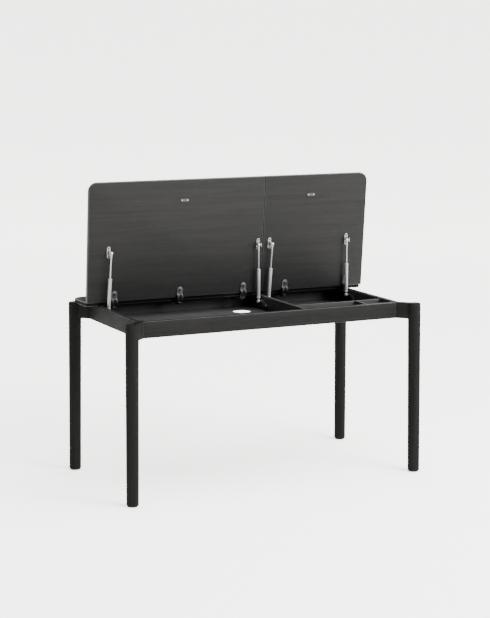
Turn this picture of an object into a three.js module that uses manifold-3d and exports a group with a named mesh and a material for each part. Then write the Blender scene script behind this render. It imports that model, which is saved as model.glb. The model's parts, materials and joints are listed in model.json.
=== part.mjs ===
// A writing desk with a lift-up top: two flap lids on gas struts over shallow storage bays.
// Millimetres, +Z up. X runs along the desk, -Y is the user's side, and the origin is on the
// floor in the middle of the four legs. The lids are drawn open, as far as their struts reach.
import * as THREE from "three";
import { mergeVertices } from "three/addons/utils/BufferGeometryUtils.js";
import Module from "manifold-3d";

const wasm = await Module();
wasm.setup();

// ---- Legs and frame ----
const FRAME_TOP = 740;
const LEG_SPACING_X = 1305;
const LEG_SPACING_Y = 649;
const LEG_TOP_DIAMETER = 54.5;
const LEG_FOOT_DIAMETER = 50.5;
const LEG_SPLAY = THREE.MathUtils.degToRad(0.5);
const LEG_EDGE = 2.5;
const GLIDE_DIAMETER = 42;
const GLIDE_HEIGHT = 4;
const LEG_SETOUT = 42;
const NECK_THICKNESS = 32;
const RAIL_HEIGHT = 67;
const RAIL_THICKNESS = 22;
const GROOVE_DEPTH = 6;
const BOLT_DIAMETER = 8;
const BOLT_HEAD_DIAMETER = 15;
const BOLT_HEAD_HEIGHT = 5;
const BOLT_REACH_INTO_LEG = 24;

// ---- Table top ----
const TOP_PAST_LEG_X = 9.5;
const TOP_PAST_LEG_Y = 17.5;
const TOP_THICKNESS = 18;
const TOP_EDGE = 1.5;
const STRIP_DEPTH = 169.5;
const STRIP_CORNER_RADIUS = 50;
const LID_CORNER_RADIUS = 38;
const LID_SEAM_X = 155;
const LID_GAP = 2;
const LID_REAR_GAP = 1.5;
const LID_REST_CLEARANCE = 0.5;
const LID_OPEN_ANGLE = THREE.MathUtils.degToRad(85);

// ---- Storage bays ----
const PANEL_THICKNESS = 3;
const PANEL_ABOVE_RAIL_BOTTOM = 2;
const PARTITION_X = 158;
const PARTITION_THICKNESS = 18;
const CABLE_HOLE_DIAMETER = 80;
const CABLE_HOLE_FROM_PARTITION = 97.5;
const CABLE_HOLE_FROM_REAR_RAIL = 126.5;
const DIVIDER_THICKNESS = 10;
const DIVIDER_BELOW_TOP = 4;
const PEN_TRAY_DEPTH = 115.5;
const SMALL_TRAY_LENGTH = 118.5;

// ---- Flap hinges ----
const LEFT_HINGE_FROM_END = 121;
const LEFT_HINGE_FROM_SEAM = 89;
const RIGHT_HINGE_FROM_SEAM = 115;
const LEAF_WIDTH = 27;
const LEAF_LENGTH = 47;
const LEAF_THICKNESS = 3;
const LEAF_RAIL_CLEARANCE = 1.5;
const SHOE_RADIUS = 30;
const SHOE_FRONT_ANGLE = THREE.MathUtils.degToRad(-25);
const SHOE_SLOT_WIDTH = 8;
const SADDLE_THICKNESS = 3.7;
const SADDLE_FRONT_ANGLE = THREE.MathUtils.degToRad(-43);
const ARM_WIDTH = 14;
const ARM_HEIGHT = 8;
const ARM_TOP_BELOW_STRIP = 4;
const ARM_NECK_CLEARANCE = 4;
const WALL_PLATE_THICKNESS = 3;
const WALL_PLATE_HEIGHT = 30;

// ---- Gas struts ----
const FOOT_FROM_HINGE = 38;
const FOOT_BELOW_TOP = 22.5;
const FOOT_STANDOFF = 15.5;
const STRUT_LEAN_IN = 9;
const LID_PIVOT_DISTANCE = 215;
const LID_PIVOT_DROP = 20;
const TUBE_DIAMETER = 15;
const TUBE_BORE = 11;
const TUBE_START = 14;
const TUBE_LENGTH = 130;
const GLAND_LENGTH = 6;
const ROD_DIAMETER = 6;
const ROD_ENGAGEMENT = 22;
const ROD_EYE_RADIUS = 7;
const ROD_EYE_WIDTH = 8;
const SOCKET_RADIUS = 8;
const BALL_RADIUS = 5;
const STUD_RADIUS = 3;
const BRACKET_THICKNESS = 2;
const LID_BRACKET_LENGTH = 50;
const LID_BRACKET_WIDTH = 14;
const LID_BRACKET_OFFSET = 5.5;
const WEB_LENGTH = 18;
const WALL_BRACKET_LENGTH = 62;
const WALL_BRACKET_WIDTH = 16;
const WALL_BRACKET_TILT = THREE.MathUtils.degToRad(17);
const SCREW_HEAD_RADIUS = 4;
const SCREW_HEAD_HEIGHT = 1.2;

// ---- Push latches ----
const LEFT_LATCH_FROM_SEAM = 381;
const RIGHT_LATCH_FROM_SEAM = 227;
const LATCH_DEPTH = 15;
const LATCH_WIDTH = 16;
const LATCH_HEIGHT = 34;
const LATCH_BELOW_TOP = 10;
const PLUNGER_DIAMETER = 7;
const PLUNGER_LENGTH = 26;
const PLUNGER_TRAVEL = 3;
const STRIKE_LENGTH = 38;
const STRIKE_WIDTH = 12;
const STRIKE_THICKNESS = 1.5;
const STRIKE_SCREW_SPACING = 25.6;

// A clearance for what is cut by, turned against or plugged into its neighbour.
const GAP = 0.3;
const ROUND_SEGMENTS = 40;
const SMALL_SEGMENTS = 14;

// ---- Places worked out from the sizes above ----
const LEG_X = LEG_SPACING_X / 2;
const LEG_Y = LEG_SPACING_Y / 2;
const FRAME_X = LEG_X - LEG_SETOUT;
const FRAME_Y = LEG_Y - LEG_SETOUT;
const INNER_X = FRAME_X - RAIL_THICKNESS;
const INNER_Y = FRAME_Y - RAIL_THICKNESS;
const RAIL_BOTTOM = FRAME_TOP - RAIL_HEIGHT;
const NECK_SETBACK = NECK_THICKNESS / Math.SQRT2;
const INNER_RAIL_END = FRAME_X - NECK_SETBACK - RAIL_THICKNESS - GAP;
const NECK_INNER_END = -(NECK_THICKNESS / 2 + RAIL_THICKNESS * Math.SQRT2);
const NECK_OUTER_END = LEG_SETOUT * Math.SQRT2;
const PEN_DIVIDER_Y = PEN_TRAY_DEPTH + DIVIDER_THICKNESS / 2 - INNER_Y;
const CROSS_DIVIDER_X = INNER_X - SMALL_TRAY_LENGTH - DIVIDER_THICKNESS / 2;
const TOP_Z = FRAME_TOP + TOP_THICKNESS;
const TOP_X = LEG_X + TOP_PAST_LEG_X;
const TOP_Y = LEG_Y + TOP_PAST_LEG_Y;
const STRIP_FRONT_Y = TOP_Y - STRIP_DEPTH;
const LID_REAR_Y = STRIP_FRONT_Y - LID_REAR_GAP;
const LID_DEPTH = LID_REAR_Y + TOP_Y;
const LID_THICKNESS = TOP_THICKNESS - LID_REST_CLEARANCE;
const PANEL_BOTTOM = RAIL_BOTTOM + PANEL_ABOVE_RAIL_BOTTOM;
const PANEL_TOP = PANEL_BOTTOM + PANEL_THICKNESS;
const PARTITION_LEFT = PARTITION_X - PARTITION_THICKNESS / 2;
const PARTITION_RIGHT = PARTITION_X + PARTITION_THICKNESS / 2;
const FOOT_Y = LID_REAR_Y - FOOT_FROM_HINGE;
const FOOT_Z = FRAME_TOP - FOOT_BELOW_TOP;
// Level of what is fixed under a lid, measured down from the lid's top face.
const UNDER_LID = -LID_THICKNESS - GAP;
const UNDER_STRIP = -TOP_THICKNESS - GAP;

const material = (name, color, roughness, metalness) =>
  new THREE.MeshStandardMaterial({ name, color, roughness, metalness });
const blackWood = material("black_stained_wood", 0x1c1c1b, 0.5, 0);
const endGrain = material("black_end_grain", 0x141413, 0.75, 0);
const panelBlack = material("black_panel", 0x151515, 0.6, 0);
const steel = material("zinc_plated_steel", 0xb4b4b0, 0.35, 1);
const strutGrey = material("strut_grey", 0xa8a9a8, 0.4, 0.6);
const darkSteel = material("dark_steel", 0x3a3a3a, 0.5, 0.8);
const blackPlastic = material("black_plastic", 0x101010, 0.6, 0);

// ---- Solids ----
// Turns a closed geometry into a manifold solid, so that it can be cut and joined.
function solid(geometry) {
  const bare = geometry.index ? geometry.toNonIndexed() : geometry.clone();
  bare.deleteAttribute("normal");
  bare.deleteAttribute("uv");
  const merged = mergeVertices(bare, 1e-3);
  return new wasm.Manifold(
    new wasm.Mesh({
      numProp: 3,
      vertProperties: merged.attributes.position.array,
      triVerts: new Uint32Array(merged.index.array),
    }),
  );
}

function geometryOf(shape) {
  const { numProp, vertProperties, triVerts } = shape.getMesh();
  const positions = new Float32Array((vertProperties.length / numProp) * 3);
  for (let i = 0; i < positions.length / 3; i += 1) {
    positions.set(vertProperties.subarray(i * numProp, i * numProp + 3), i * 3);
  }
  const geometry = new THREE.BufferGeometry();
  geometry.setAttribute("position", new THREE.BufferAttribute(positions, 3));
  geometry.setIndex(new THREE.BufferAttribute(new Uint32Array(triVerts), 1));
  const flat = geometry.toNonIndexed();
  flat.computeVertexNormals();
  return flat;
}

function piece(name, shape, look) {
  const geometry = shape.isBufferGeometry ? shape : geometryOf(shape);
  const mesh = new THREE.Mesh(geometry, look);
  mesh.name = name;
  return mesh;
}

function box(x0, x1, y0, y1, z0, z1) {
  const geometry = new THREE.BoxGeometry(x1 - x0, y1 - y0, z1 - z0);
  return geometry.translate((x0 + x1) / 2, (y0 + y1) / 2, (z0 + z1) / 2);
}

// A cylinder that stands on z0, about the Z axis.
function post(radius, z0, z1, segments = SMALL_SEGMENTS) {
  const geometry = new THREE.CylinderGeometry(radius, radius, z1 - z0, segments);
  return geometry.rotateX(Math.PI / 2).translate(0, 0, (z0 + z1) / 2);
}

// A cylinder along X, from x0 to x1.
function barX(radius, x0, x1, y = 0, z = 0) {
  const geometry = new THREE.CylinderGeometry(radius, radius, x1 - x0, SMALL_SEGMENTS);
  return geometry.rotateZ(Math.PI / 2).translate((x0 + x1) / 2, y, z);
}

function ball(radius) {
  return new THREE.SphereGeometry(radius, SMALL_SEGMENTS, SMALL_SEGMENTS / 2);
}

function outline(points) {
  return new THREE.Shape(points.map(([x, y]) => new THREE.Vector2(x, y)));
}

// An outline in X and Y, raised from z0 to z1.
function slab(shape, z0, z1, edge = 0) {
  const geometry = new THREE.ExtrudeGeometry(shape, {
    depth: z1 - z0 - 2 * edge,
    bevelEnabled: edge > 0,
    bevelThickness: edge,
    bevelSize: edge,
    bevelOffset: -edge,
    bevelSegments: 1,
    curveSegments: 10,
  });
  return geometry.translate(0, 0, z0 + edge);
}

// A side profile in Y and Z, given width along X between x0 and x1.
function slice(shape, x0, x1) {
  const geometry = new THREE.ExtrudeGeometry(shape, {
    depth: x1 - x0,
    bevelEnabled: false,
    curveSegments: 12,
  });
  const turn = new THREE.Matrix4().makeBasis(
    new THREE.Vector3(0, 1, 0),
    new THREE.Vector3(0, 0, 1),
    new THREE.Vector3(1, 0, 0),
  );
  return geometry.applyMatrix4(turn).translate(x0, 0, 0);
}

// A bar with round ends, lying along the outline's first axis about its middle.
function roundEnded(length, width) {
  const straight = length / 2 - width / 2;
  const shape = new THREE.Shape();
  shape.absarc(straight, 0, width / 2, -Math.PI / 2, Math.PI / 2, false);
  shape.absarc(-straight, 0, width / 2, Math.PI / 2, (3 * Math.PI) / 2, false);
  return shape;
}

// ---- Legs, necks and rails ----
const CORNERS = [
  { name: "front_left", sx: -1, sy: -1 },
  { name: "front_right", sx: 1, sy: -1 },
  { name: "rear_left", sx: -1, sy: 1 },
  { name: "rear_right", sx: 1, sy: 1 },
];

// The leg is turned, then slanted outwards, so that its two ends stay level.
function legGeometry({ sx, sy }, grow = 0) {
  const top = LEG_TOP_DIAMETER / 2 + grow;
  const foot = LEG_FOOT_DIAMETER / 2 + grow;
  const profile = [
    new THREE.Vector2(0, GLIDE_HEIGHT),
    new THREE.Vector2(foot - LEG_EDGE, GLIDE_HEIGHT),
    new THREE.Vector2(foot, GLIDE_HEIGHT + LEG_EDGE),
    new THREE.Vector2(top, FRAME_TOP - LEG_EDGE + grow),
    new THREE.Vector2(top - LEG_EDGE * 0.3, FRAME_TOP - LEG_EDGE * 0.3 + grow),
    new THREE.Vector2(top - LEG_EDGE, FRAME_TOP + grow),
    new THREE.Vector2(0, FRAME_TOP + grow),
  ];
  const slope = -Math.tan(LEG_SPLAY);
  const slant = new THREE.Matrix4().set(
    1, 0, sx * slope, -sx * slope * FRAME_TOP,
    0, 1, sy * slope, -sy * slope * FRAME_TOP,
    0, 0, 1, 0,
    0, 0, 0, 1,
  );
  return new THREE.LatheGeometry(profile, ROUND_SEGMENTS)
    .rotateX(Math.PI / 2)
    .applyMatrix4(slant)
    .translate(sx * LEG_X, sy * LEG_Y, 0);
}

// Places what is drawn along +X, outwards from the frame's corner, on that corner's diagonal.
function onDiagonal(geometry, { sx, sy }) {
  return geometry.rotateZ(Math.atan2(sy, sx)).translate(sx * FRAME_X, sy * FRAME_Y, 0);
}

function legSet(corner) {
  const midHeight = (FRAME_TOP + RAIL_BOTTOM) / 2;
  const boltEnd = NECK_OUTER_END - LEG_TOP_DIAMETER / 2 + BOLT_REACH_INTO_LEG;
  const shaft = (grow) =>
    onDiagonal(barX(BOLT_DIAMETER / 2 + grow, NECK_INNER_END - 1, boltEnd + grow, 0, midHeight), corner);
  const leg = solid(legGeometry(corner)).subtract(solid(shaft(GAP)));
  const neckBlank = box(
    NECK_INNER_END,
    NECK_OUTER_END,
    -NECK_THICKNESS / 2,
    NECK_THICKNESS / 2,
    RAIL_BOTTOM,
    FRAME_TOP,
  );
  const neck = solid(onDiagonal(neckBlank, corner))
    .subtract(solid(legGeometry(corner, GAP)))
    .subtract(solid(shaft(GAP)));
  const headEnd = NECK_INNER_END - GAP;
  const head = barX(BOLT_HEAD_DIAMETER / 2, headEnd - BOLT_HEAD_HEIGHT, headEnd, 0, midHeight);
  const bolt = solid(
    onDiagonal(barX(BOLT_DIAMETER / 2, headEnd - BOLT_HEAD_HEIGHT / 2, boltEnd, 0, midHeight), corner),
  ).add(solid(onDiagonal(head, corner)));
  const slant = FRAME_TOP * Math.tan(LEG_SPLAY);
  const glide = post(GLIDE_DIAMETER / 2, 0, GLIDE_HEIGHT, ROUND_SEGMENTS / 2).translate(
    corner.sx * (LEG_X + slant),
    corner.sy * (LEG_Y + slant),
    0,
  );
  const set = new THREE.Group();
  set.add(
    piece(`leg_${corner.name}`, leg, blackWood),
    piece(`neck_${corner.name}`, neck, blackWood),
    piece(`leg_bolt_${corner.name}`, bolt, darkSteel),
    piece(`foot_glide_${corner.name}`, glide, blackPlastic),
  );
  return set;
}

// A rail seen from above, its ends cut at 45 degrees to meet the flanks of the necks.
function railGeometry(halfLength, outerFace) {
  const endAtFace = halfLength - NECK_SETBACK - GAP;
  const endInside = endAtFace - RAIL_THICKNESS;
  const plan = outline([
    [-endAtFace, -outerFace],
    [endAtFace, -outerFace],
    [endInside, -outerFace + RAIL_THICKNESS],
    [-endInside, -outerFace + RAIL_THICKNESS],
  ]);
  return slab(plan, RAIL_BOTTOM, FRAME_TOP);
}

// The slot that a bottom panel's edge sits in, between two pairs of faces across the frame.
function groove(x0, x1, y0, y1) {
  return solid(box(x0, x1, y0, y1, PANEL_BOTTOM - GAP, PANEL_TOP + GAP));
}

function rails() {
  const cutX = INNER_X + GROOVE_DEPTH + GAP;
  const cutY = INNER_Y + GROOVE_DEPTH + GAP;
  const ring = groove(-cutX, cutX, -cutY, cutY);
  const front = solid(railGeometry(FRAME_X, FRAME_Y)).subtract(ring);
  const rear = solid(railGeometry(FRAME_X, FRAME_Y).rotateZ(Math.PI)).subtract(ring);
  const left = solid(railGeometry(FRAME_Y, FRAME_X).rotateZ(-Math.PI / 2)).subtract(ring);
  const right = solid(railGeometry(FRAME_Y, FRAME_X).rotateZ(Math.PI / 2)).subtract(ring);
  const set = new THREE.Group();
  set.add(
    piece("front_rail", front, blackWood),
    piece("rear_rail", rear, blackWood),
    piece("left_rail", left, blackWood),
    piece("right_rail", right, blackWood),
  );
  return set;
}

// ---- Storage bays ----
// A bottom panel from the partition's groove to a side rail's, clear of the necks' inner ends.
function bottomPanel(side, partitionFace) {
  const farX = INNER_X + GROOVE_DEPTH;
  const farY = INNER_Y + GROOVE_DEPTH;
  const reach = INNER_X + FRAME_Y - NECK_SETBACK - RAIL_THICKNESS - 2 * GAP;
  const nearX = partitionFace - side * GROOVE_DEPTH;
  const corners = [
    [nearX, -farY],
    [side * (reach - farY), -farY],
    [side * farX, -(reach - farX)],
    [side * farX, reach - farX],
    [side * (reach - farY), farY],
    [nearX, farY],
  ];
  return outline(side > 0 ? corners : corners.reverse());
}

function bays() {
  const leftOutline = bottomPanel(-1, PARTITION_LEFT);
  const hole = new THREE.Path();
  const holeX = PARTITION_LEFT - CABLE_HOLE_FROM_PARTITION;
  const holeY = INNER_Y - CABLE_HOLE_FROM_REAR_RAIL;
  hole.absarc(holeX, holeY, CABLE_HOLE_DIAMETER / 2, 0, 2 * Math.PI, true);
  leftOutline.holes.push(hole);
  const rightOutline = bottomPanel(1, PARTITION_RIGHT);
  const blank = box(PARTITION_LEFT, PARTITION_RIGHT, -INNER_Y, INNER_Y, RAIL_BOTTOM, FRAME_TOP);
  const cut = GROOVE_DEPTH + GAP;
  const partition = solid(blank)
    .subtract(groove(PARTITION_LEFT - 1, PARTITION_LEFT + cut, -FRAME_Y, FRAME_Y))
    .subtract(groove(PARTITION_RIGHT - cut, PARTITION_RIGHT + 1, -FRAME_Y, FRAME_Y));
  const dividerTop = FRAME_TOP - DIVIDER_BELOW_TOP;
  const half = DIVIDER_THICKNESS / 2;
  const penDivider = box(
    PARTITION_RIGHT,
    INNER_X,
    PEN_DIVIDER_Y - half,
    PEN_DIVIDER_Y + half,
    PANEL_TOP,
    dividerTop,
  );
  const crossDivider = box(
    CROSS_DIVIDER_X - half,
    CROSS_DIVIDER_X + half,
    -INNER_Y,
    PEN_DIVIDER_Y - half,
    PANEL_TOP,
    dividerTop,
  );
  const set = new THREE.Group();
  set.add(
    piece("left_bay_bottom", slab(leftOutline, PANEL_BOTTOM, PANEL_TOP), panelBlack),
    piece("right_bay_bottom", slab(rightOutline, PANEL_BOTTOM, PANEL_TOP), panelBlack),
    piece("bay_partition", partition, blackWood),
    piece("pen_tray_divider", penDivider, blackWood),
    piece("small_tray_divider", crossDivider, blackWood),
  );
  return set;
}

// ---- Top ----
function rearStrip() {
  const shape = new THREE.Shape();
  const turnX = TOP_X - STRIP_CORNER_RADIUS;
  const turnY = TOP_Y - STRIP_CORNER_RADIUS;
  shape.moveTo(-TOP_X, STRIP_FRONT_Y);
  shape.lineTo(TOP_X, STRIP_FRONT_Y);
  shape.absarc(turnX, turnY, STRIP_CORNER_RADIUS, 0, Math.PI / 2, false);
  shape.absarc(-turnX, turnY, STRIP_CORNER_RADIUS, Math.PI / 2, Math.PI, false);
  return piece("rear_top_strip", slab(shape, FRAME_TOP, TOP_Z, TOP_EDGE), blackWood);
}

// A lid lies shut in its own frame: Y = 0 and Z = 0 at its top rear edge, Y to the rear.
function lidPanel(x0, x1, roundSide) {
  const radius = LID_CORNER_RADIUS;
  const shape = new THREE.Shape();
  if (roundSide < 0) {
    shape.moveTo(x1, -LID_DEPTH);
    shape.lineTo(x1, 0);
    shape.lineTo(x0, 0);
    shape.absarc(x0 + radius, radius - LID_DEPTH, radius, Math.PI, (3 * Math.PI) / 2, false);
  } else {
    shape.moveTo(x0, 0);
    shape.lineTo(x0, -LID_DEPTH);
    shape.absarc(x1 - radius, radius - LID_DEPTH, radius, -Math.PI / 2, 0, false);
    shape.lineTo(x1, 0);
  }
  return slab(shape, -LID_THICKNESS, 0, TOP_EDGE);
}

// ---- Flap hinges ----
// The leaf carries a curved shoe that turns about the lid's top rear edge in the arm's saddle.
function hingeLeaf(x) {
  const shoeTop = UNDER_STRIP;
  const rearAngle = Math.acos(-shoeTop / SHOE_RADIUS);
  const plateBottom = shoeTop - LEAF_THICKNESS;
  const profile = new THREE.Shape();
  profile.moveTo(-LEAF_LENGTH, shoeTop);
  profile.lineTo(-LEAF_LENGTH, plateBottom);
  profile.lineTo(SHOE_RADIUS * Math.sin(SHOE_FRONT_ANGLE), plateBottom);
  profile.absarc(0, 0, SHOE_RADIUS, SHOE_FRONT_ANGLE - Math.PI / 2, rearAngle - Math.PI / 2, false);
  const halfWidth = LEAF_WIDTH / 2;
  const blank = solid(slice(profile, x - halfWidth, x + halfWidth));
  const rounded = solid(
    slab(roundEnded(LEAF_LENGTH * 2, LEAF_WIDTH), -SHOE_RADIUS - 1, 0)
      .rotateZ(Math.PI / 2)
      .translate(x, 0, 0),
  );
  const slot = solid(
    box(
      x - SHOE_SLOT_WIDTH / 2,
      x + SHOE_SLOT_WIDTH / 2,
      -SHOE_RADIUS,
      SHOE_RADIUS,
      -SHOE_RADIUS - 1,
      plateBottom,
    ),
  );
  const screw = solid(
    post(SCREW_HEAD_RADIUS, plateBottom - SCREW_HEAD_HEIGHT, plateBottom + 1).translate(
      x,
      LEAF_WIDTH / 2 - LEAF_LENGTH,
      0,
    ),
  );
  return blank.intersect(rounded).subtract(slot).add(screw);
}

// The arm's foot is screwed to the rear rail. In a corner it steps sideways, clear of the neck.
function hingeBase(x) {
  const inner = SHOE_RADIUS + GAP;
  const outer = inner + SADDLE_THICKNESS;
  const rearAngle = Math.acos(-UNDER_STRIP / inner);
  const start = SADDLE_FRONT_ANGLE - Math.PI / 2;
  const end = rearAngle - Math.PI / 2;
  const saddle = new THREE.Shape();
  saddle.absarc(0, 0, outer, start, end, false);
  saddle.absarc(0, 0, inner, end, start, true);
  const wall = INNER_Y - LID_REAR_Y;
  const armTop = -TOP_THICKNESS - ARM_TOP_BELOW_STRIP;
  const armBottom = armTop - ARM_HEIGHT;
  const half = ARM_WIDTH / 2;
  const armStart = Math.sqrt(((inner + outer) / 2) ** 2 - armTop ** 2);
  const plateHalf = LEAF_WIDTH / 2;
  const plateTop = -TOP_THICKNESS - 1;
  const farthest = INNER_RAIL_END - plateHalf - 1;
  const footX = THREE.MathUtils.clamp(x, -farthest, farthest);
  const neckReach = Math.max(ARM_HEIGHT, Math.abs(x) + half - INNER_RAIL_END);
  const stepRear = wall - neckReach - ARM_NECK_CLEARANCE;
  const stepFront = stepRear - ARM_HEIGHT;
  const parts = [
    box(x - half, x + half, armStart, stepRear, armBottom, armTop),
    box(Math.min(x, footX) - half, Math.max(x, footX) + half, stepFront, stepRear, armBottom, armTop),
    box(footX - half, footX + half, stepFront, wall - 1, armBottom, armTop),
    box(
      footX - plateHalf,
      footX + plateHalf,
      wall - WALL_PLATE_THICKNESS,
      wall,
      plateTop - WALL_PLATE_HEIGHT,
      plateTop,
    ),
  ];
  return parts.reduce(
    (made, part) => made.add(solid(part)),
    solid(slice(saddle, x - half, x + half)),
  );
}

// ---- Gas struts ----
// side is +1 where the wall that carries the foot is on the strut's right.
function wallBracket(side) {
  const plate = slice(
    roundEnded(WALL_BRACKET_LENGTH, WALL_BRACKET_WIDTH),
    FOOT_STANDOFF - BRACKET_THICKNESS,
    FOOT_STANDOFF,
  )
    .translate(0, WALL_BRACKET_WIDTH / 2 - WALL_BRACKET_LENGTH / 2, 0)
    .rotateX(WALL_BRACKET_TILT);
  const stud = barX(STUD_RADIUS, 0, FOOT_STANDOFF - BRACKET_THICKNESS / 2);
  const screw = barX(
    SCREW_HEAD_RADIUS,
    FOOT_STANDOFF - BRACKET_THICKNESS - SCREW_HEAD_HEIGHT,
    FOOT_STANDOFF - 1,
    WALL_BRACKET_WIDTH - WALL_BRACKET_LENGTH,
    0,
  ).rotateX(WALL_BRACKET_TILT);
  const made = solid(plate).add(solid(stud)).add(solid(ball(BALL_RADIUS))).add(solid(screw));
  return side > 0 ? made : made.mirror([1, 0, 0]);
}

// The tube stands on its foot's ball, along +Z, with the socket open towards the wall.
function strutTube(side) {
  const radius = TUBE_DIAMETER / 2;
  const bore = TUBE_BORE / 2;
  const rodHole = ROD_DIAMETER / 2 + GAP;
  const end = TUBE_START + TUBE_LENGTH;
  const profile = [
    [0, TUBE_START],
    [radius - 1, TUBE_START],
    [radius, TUBE_START + 1],
    [radius, end - 1],
    [radius - 1, end],
    [rodHole, end],
    [rodHole, end - GLAND_LENGTH],
    [bore, end - GLAND_LENGTH],
    [bore, TUBE_START + GLAND_LENGTH],
    [0, TUBE_START + GLAND_LENGTH],
  ].map(([r, z]) => new THREE.Vector2(r, z));
  const tube = new THREE.LatheGeometry(profile, SMALL_SEGMENTS + 4).rotateX(Math.PI / 2);
  const cavity = BALL_RADIUS + GAP;
  const mouth = barX(cavity, 0, SOCKET_RADIUS + 1);
  const made = solid(ball(SOCKET_RADIUS))
    .add(solid(post(STUD_RADIUS + 1, SOCKET_RADIUS - 1, TUBE_START + 1)))
    .add(solid(tube))
    .subtract(solid(ball(cavity)))
    .subtract(solid(mouth));
  return side > 0 ? made : made.mirror([1, 0, 0]);
}

// The rod hangs from its eye, which stands beside the lid's stud.
function strutRod(length) {
  const bottom = TUBE_START + TUBE_LENGTH - ROD_ENGAGEMENT - length;
  const rod = post(ROD_DIAMETER / 2, bottom, 1 - ROD_EYE_RADIUS);
  const eye = barX(ROD_EYE_RADIUS, -ROD_EYE_WIDTH / 2, ROD_EYE_WIDTH / 2);
  return solid(rod).add(solid(eye));
}

// Drawn about the strut's upper pivot, in the shut lid's frame. The stud stops short of the eye
// by as far as the eye works its way towards it while the lid closes.
function lidBracket(side, eyeShift) {
  const plateTop = LID_PIVOT_DROP - GAP;
  const plate = slab(
    roundEnded(LID_BRACKET_LENGTH, LID_BRACKET_WIDTH),
    plateTop - BRACKET_THICKNESS,
    plateTop,
  )
    .rotateZ(Math.PI / 2)
    .translate(LID_BRACKET_OFFSET, 0, 0);
  const studTip = ROD_EYE_WIDTH / 2 + eyeShift + GAP;
  const webFace = studTip + BRACKET_THICKNESS;
  const web = box(
    webFace,
    webFace + BRACKET_THICKNESS,
    -WEB_LENGTH / 2,
    WEB_LENGTH / 2,
    -ROD_EYE_RADIUS,
    plateTop - 1,
  );
  const stud = barX(STUD_RADIUS + 1, studTip, webFace + 1);
  let made = solid(plate).add(solid(web)).add(solid(stud));
  const screwY = LID_BRACKET_LENGTH / 2 - LID_BRACKET_WIDTH / 2;
  for (const y of [-screwY, screwY]) {
    const low = plateTop - BRACKET_THICKNESS - SCREW_HEAD_HEIGHT;
    const screw = post(SCREW_HEAD_RADIUS, low, plateTop - 1).translate(LID_BRACKET_OFFSET, y, 0);
    made = made.add(solid(screw));
  }
  return side > 0 ? made : made.mirror([1, 0, 0]);
}

// The strut's upper pivot, with the lid turned open by the given angle.
function lidPivot(x, angle) {
  const shut = new THREE.Vector3(x, -LID_PIVOT_DISTANCE, -LID_THICKNESS - LID_PIVOT_DROP);
  return shut
    .applyAxisAngle(new THREE.Vector3(1, 0, 0), -angle)
    .add(new THREE.Vector3(0, LID_REAR_Y, TOP_Z));
}

// The line from a strut's foot to its upper pivot.
function strutLine(wallX, side, angle) {
  const foot = new THREE.Vector3(wallX - side * FOOT_STANDOFF, FOOT_Y, FOOT_Z);
  const along = lidPivot(foot.x - side * STRUT_LEAN_IN, angle).sub(foot);
  return { foot, along };
}

// The strut keeps its lean as it shortens, so its eye ends up this much nearer the wall.
function eyeShiftOnClosing(wallX, side) {
  const open = strutLine(wallX, side, LID_OPEN_ANGLE).along.length();
  const shut = strutLine(wallX, side, 0).along.length();
  return STRUT_LEAN_IN * (1 - shut / open);
}

function strut(name, wallX, side) {
  const { foot, along } = strutLine(wallX, side, LID_OPEN_ANGLE);
  const length = along.length();
  const bracket = piece(`${name}_frame_bracket`, wallBracket(side), steel);
  bracket.position.copy(foot);
  const tube = piece(`${name}_tube`, strutTube(side), strutGrey);
  const rod = piece(`${name}_rod`, strutRod(length), strutGrey);
  rod.position.z = length;
  const leaning = new THREE.Group();
  leaning.position.copy(foot);
  leaning.quaternion.setFromUnitVectors(new THREE.Vector3(0, 0, 1), along.normalize());
  leaning.add(tube, rod);
  const set = new THREE.Group();
  set.add(bracket, leaning);
  return set;
}

// ---- Push latches ----
const LATCH_Y = LATCH_DEPTH / 2 - INNER_Y;

function latch(name, x) {
  const half = LATCH_WIDTH / 2;
  const top = FRAME_TOP - LATCH_BELOW_TOP;
  const tip = TOP_Z + UNDER_LID - STRIKE_THICKNESS - GAP;
  const bottom = tip - PLUNGER_LENGTH;
  const well = bottom - PLUNGER_TRAVEL - 1;
  const blank = box(x - half, x + half, -INNER_Y, LATCH_DEPTH - INNER_Y, top - LATCH_HEIGHT, top);
  const shaft = post(PLUNGER_DIAMETER / 2 + GAP, well, top + 1).translate(x, LATCH_Y, 0);
  const body = solid(blank).subtract(solid(shaft));
  const plunger = post(PLUNGER_DIAMETER / 2, bottom, tip).translate(x, LATCH_Y, 0);
  const set = new THREE.Group();
  set.add(
    piece(`${name}_latch_body`, body, blackPlastic),
    piece(`${name}_latch_plunger`, plunger, steel),
  );
  return set;
}

function strikePlate(x) {
  const y = LATCH_Y - LID_REAR_Y;
  const low = UNDER_LID - STRIKE_THICKNESS;
  const made = solid(slab(roundEnded(STRIKE_LENGTH, STRIKE_WIDTH), low, UNDER_LID));
  const hollow = (at) =>
    solid(post(SCREW_HEAD_RADIUS - 1, low - 1, low + STRIKE_THICKNESS / 2).translate(at, 0, 0));
  return made
    .subtract(hollow(-STRIKE_SCREW_SPACING / 2))
    .subtract(hollow(STRIKE_SCREW_SPACING / 2))
    .translate([x, y, 0]);
}

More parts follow.
